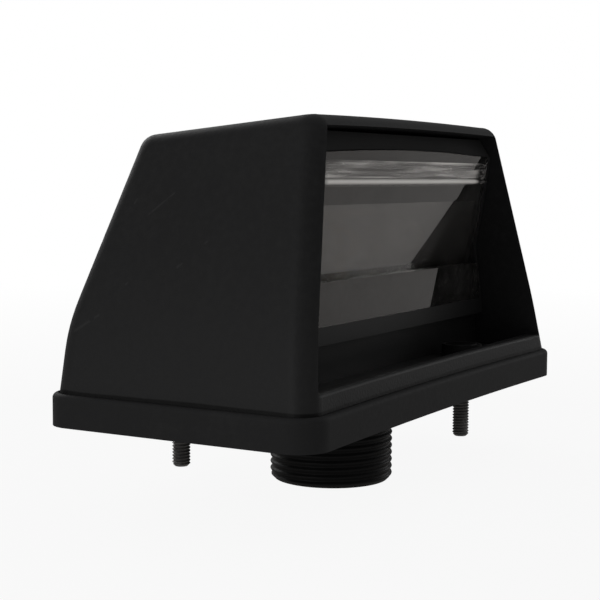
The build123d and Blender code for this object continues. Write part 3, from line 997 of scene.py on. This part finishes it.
def makeCoilTree(sizes):
    tree, start, given = newTree("filamentCoil", [
        ("Radius", "NodeSocketFloat"),
        ("Wire Radius", "NodeSocketFloat"),
        ("Turns", "NodeSocketFloat"),
        ("Length", "NodeSocketFloat"),
        ("Lead Radius", "NodeSocketFloat"),
        ("Span", "NodeSocketFloat"),
        ("Middle", "NodeSocketVector"),
        ("Material", "NodeSocketMaterial"),
    ])

    def drawTube(curve, radius, sides):
        ring = start.node("GeometryNodeCurvePrimitiveCircle", None,
                          {"Resolution": sides, "Radius": radius})
        return start.node("GeometryNodeCurveToMesh", None,
                          {"Curve": curve, "Profile Curve": ring, "Fill Caps": True})

    def upTo(height):
        return start.node("ShaderNodeCombineXYZ", None, {"Z": height})

    spiral = start.node("GeometryNodeCurveSpiral", None, {
        "Resolution": sizes["stepsPerTurn"],
        "Rotations": given["Turns"],
        "Start Radius": given["Radius"],
        "End Radius": given["Radius"],
        "Height": given["Length"],
    })
    coil = drawTube(spiral, given["Wire Radius"], sizes["wireSides"])
    pieces = [start.node("GeometryNodeTransform", None,
                         {"Geometry": coil, "Translation": upTo(given["Length"] * -0.5)})]
    for side in (-0.5, 0.5):
        inner = upTo(given["Length"] * side)
        outer = upTo(given["Span"] * side)
        line = start.node("GeometryNodeCurvePrimitiveLine", None, {"Start": inner, "End": outer})
        pieces.append(drawTube(line, given["Lead Radius"], sizes["leadSides"]))
    joined = start.node("GeometryNodeJoinGeometry", None, {"Geometry": pieces})
    turned = start.node("GeometryNodeTransform", None, {
        "Geometry": joined,
        "Translation": given["Middle"],
        "Rotation": (0.0, math.pi / 2, 0.0),
    })
    closeTree(start, turned, given["Material"])
    return tree


coilTree = makeCoilTree(coilSizes)


def makeFilament(name, node, sizes):
    low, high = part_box(node)
    mesh = growMesh(name, coilTree, {
        "Radius": sizes["radius"],
        "Wire Radius": sizes["wire"],
        "Turns": sizes["turns"],
        "Length": sizes["length"],
        "Lead Radius": sizes["lead"],
        "Span": high.x - low.x,
        "Middle": (low + high) / 2,
        "Material": slotMaterials["filament_wire"],
    })
    settle(addObject(name, mesh), "filament_wire", node)


makeFilament("leftFilament", "left_bulb_filament", coilSizes)
makeFilament("rightFilament", "right_bulb_filament", coilSizes)
print("filaments coiled")


# floor, light and camera

stageLook = {
    "floorSize": 8.0,
    "floorColour": grey(0.50),
    "floorCloud": grey(0.485),
    "cloudNoise": (3.0, 2.0, 0.5),
    "lift": 0.92,                                  # share of white that the camera sees by the lamp
    "fade": (0.135, 0.45),                         # the floor turns white from here on, over so far
    "mirrored": 0.155,                             # the same share for glossy and transmitted rays
    "mirroredTone": (1.0, 0.945, 0.905, 1.0),
    "lit": 0.40,                                   # and for what lights the lamp from below
    "horizon": 0.13,
    "zenith": 0.55,
    "aim": (0.0, 0.0, 0.03),                       # where the lamps point
}
lamps = {
    "key": {"spot": (-0.95, 0.22, 0.30), "size": 0.7, "power": 2.5},
    "fill": {"spot": (0.97, -0.33, 0.20), "size": 0.3, "power": 0.68},
    "back": {"spot": (0.45, 0.90, 0.60), "size": 0.8, "power": 3.6},
}
cameraLook = {
    "place": (-284.72 * mm, -153.68 * mm, 51.04 * mm),
    "yaw": 60.41,                                  # degrees from +Y towards +X
    "pitch": -5.066,
    "roll": 0.341,
    "lens": 84.32,
    "clipStart": 0.01,
}
white = (1.0, 1.0, 1.0, 1.0)


def rayShare(start, look):                         # white that each kind of ray sees, and its tone
    camera, glossy, through = [
        start.node("ShaderNodeLightPath", None, None, kind)
        for kind in ("Is Camera Ray", "Is Glossy Ray", "Is Transmission Ray")
    ]
    near, over = look["fade"]
    away = vectorMaths(start, "LENGTH", {0: objectPlace(start)}, "Value")
    away = ((away - near) / over).clamped()
    seen = look["lift"] + away * (1 - look["lift"])
    mirrored = start.maths("MAXIMUM", glossy, through)
    unseen = look["lit"] + mirrored * (look["mirrored"] - look["lit"])
    tone = mixColour(start, mirrored, white, look["mirroredTone"])
    return camera * seen + (1 - camera) * unseen, tone


def makeFloor(look):
    material, start = newMaterial("paleFloor")
    cloud = noise(start, objectPlace(start), look["cloudNoise"])
    paint = mixColour(start, cloud, look["floorColour"], look["floorCloud"])
    shade = start.node("ShaderNodeBsdfDiffuse", None, {"Color": paint})
    share, tone = rayShare(start, look)
    glow = start.node("ShaderNodeEmission", None, {"Color": tone, "Strength": 1.0})
    finishMaterial(start, mixShader(start, share, shade, glow))
    half = look["floorSize"] / 2
    corners = [(-half, -half, 0), (half, -half, 0), (half, half, 0), (-half, half, 0)]
    mesh = bpy.data.meshes.new("floor")
    mesh.from_pydata(corners, [], [(0, 1, 2, 3)])
    mesh.transform(Matrix.Translation((0.0, 0.0, cadBox[0].z)))
    mesh.materials.append(material)
    floor = addObject("floor", mesh)


def makeWorld(look):
    world = bpy.data.worlds.new("studio")
    bpy.context.scene.world = world
    world.use_nodes = True
    world.node_tree.nodes.clear()
    start = Wire(world.node_tree)
    camera = start.node("ShaderNodeLightPath", None, None, "Is Camera Ray")
    way = start.node("ShaderNodeTexCoord", None, None, "Generated")
    height = axis(start, way, "Z").clamped()
    soft = look["horizon"] + height * (look["zenith"] - look["horizon"])
    sky = start.node("ShaderNodeBackground", None, {
        "Color": white,
        "Strength": camera + (1 - camera) * soft,
    })
    start.node("ShaderNodeOutputWorld", None, {"Surface": sky})


def makeLamp(name, look, target):
    light = bpy.data.lights.new(name, "AREA")
    light.shape = "DISK"
    light.size = look["size"]
    light.energy = look["power"]
    lamp = addObject(name, light)
    lamp.location = look["spot"]
    lamp.rotation_euler = (target - lamp.location).to_track_quat("-Z", "Y").to_euler()


def makeCamera(look):
    yaw, pitch, roll = [math.radians(look[turn]) for turn in ("yaw", "pitch", "roll")]
    flat = math.cos(pitch)
    forward = Vector((math.sin(yaw) * flat, math.cos(yaw) * flat, math.sin(pitch)))
    level = Vector((math.cos(yaw), -math.sin(yaw), 0.0))
    upright = level.cross(forward)
    right = level * math.cos(roll) + upright * math.sin(roll)
    up = upright * math.cos(roll) - level * math.sin(roll)
    data = bpy.data.cameras.new("camera")
    data.lens = look["lens"]
    data.clip_start = look["clipStart"]
    camera = addObject("camera", data)
    axes = Matrix((right, up, -forward)).transposed()
    camera.matrix_world = Matrix.Translation(look["place"]) @ axes.to_4x4()
    bpy.context.scene.camera = camera


makeFloor(stageLook)
makeWorld(stageLook)
for name, look in lamps.items():
    makeLamp(name, look, Vector(stageLook["aim"]))
makeCamera(cameraLook)
bpy.context.scene.view_settings.view_transform = "Standard"
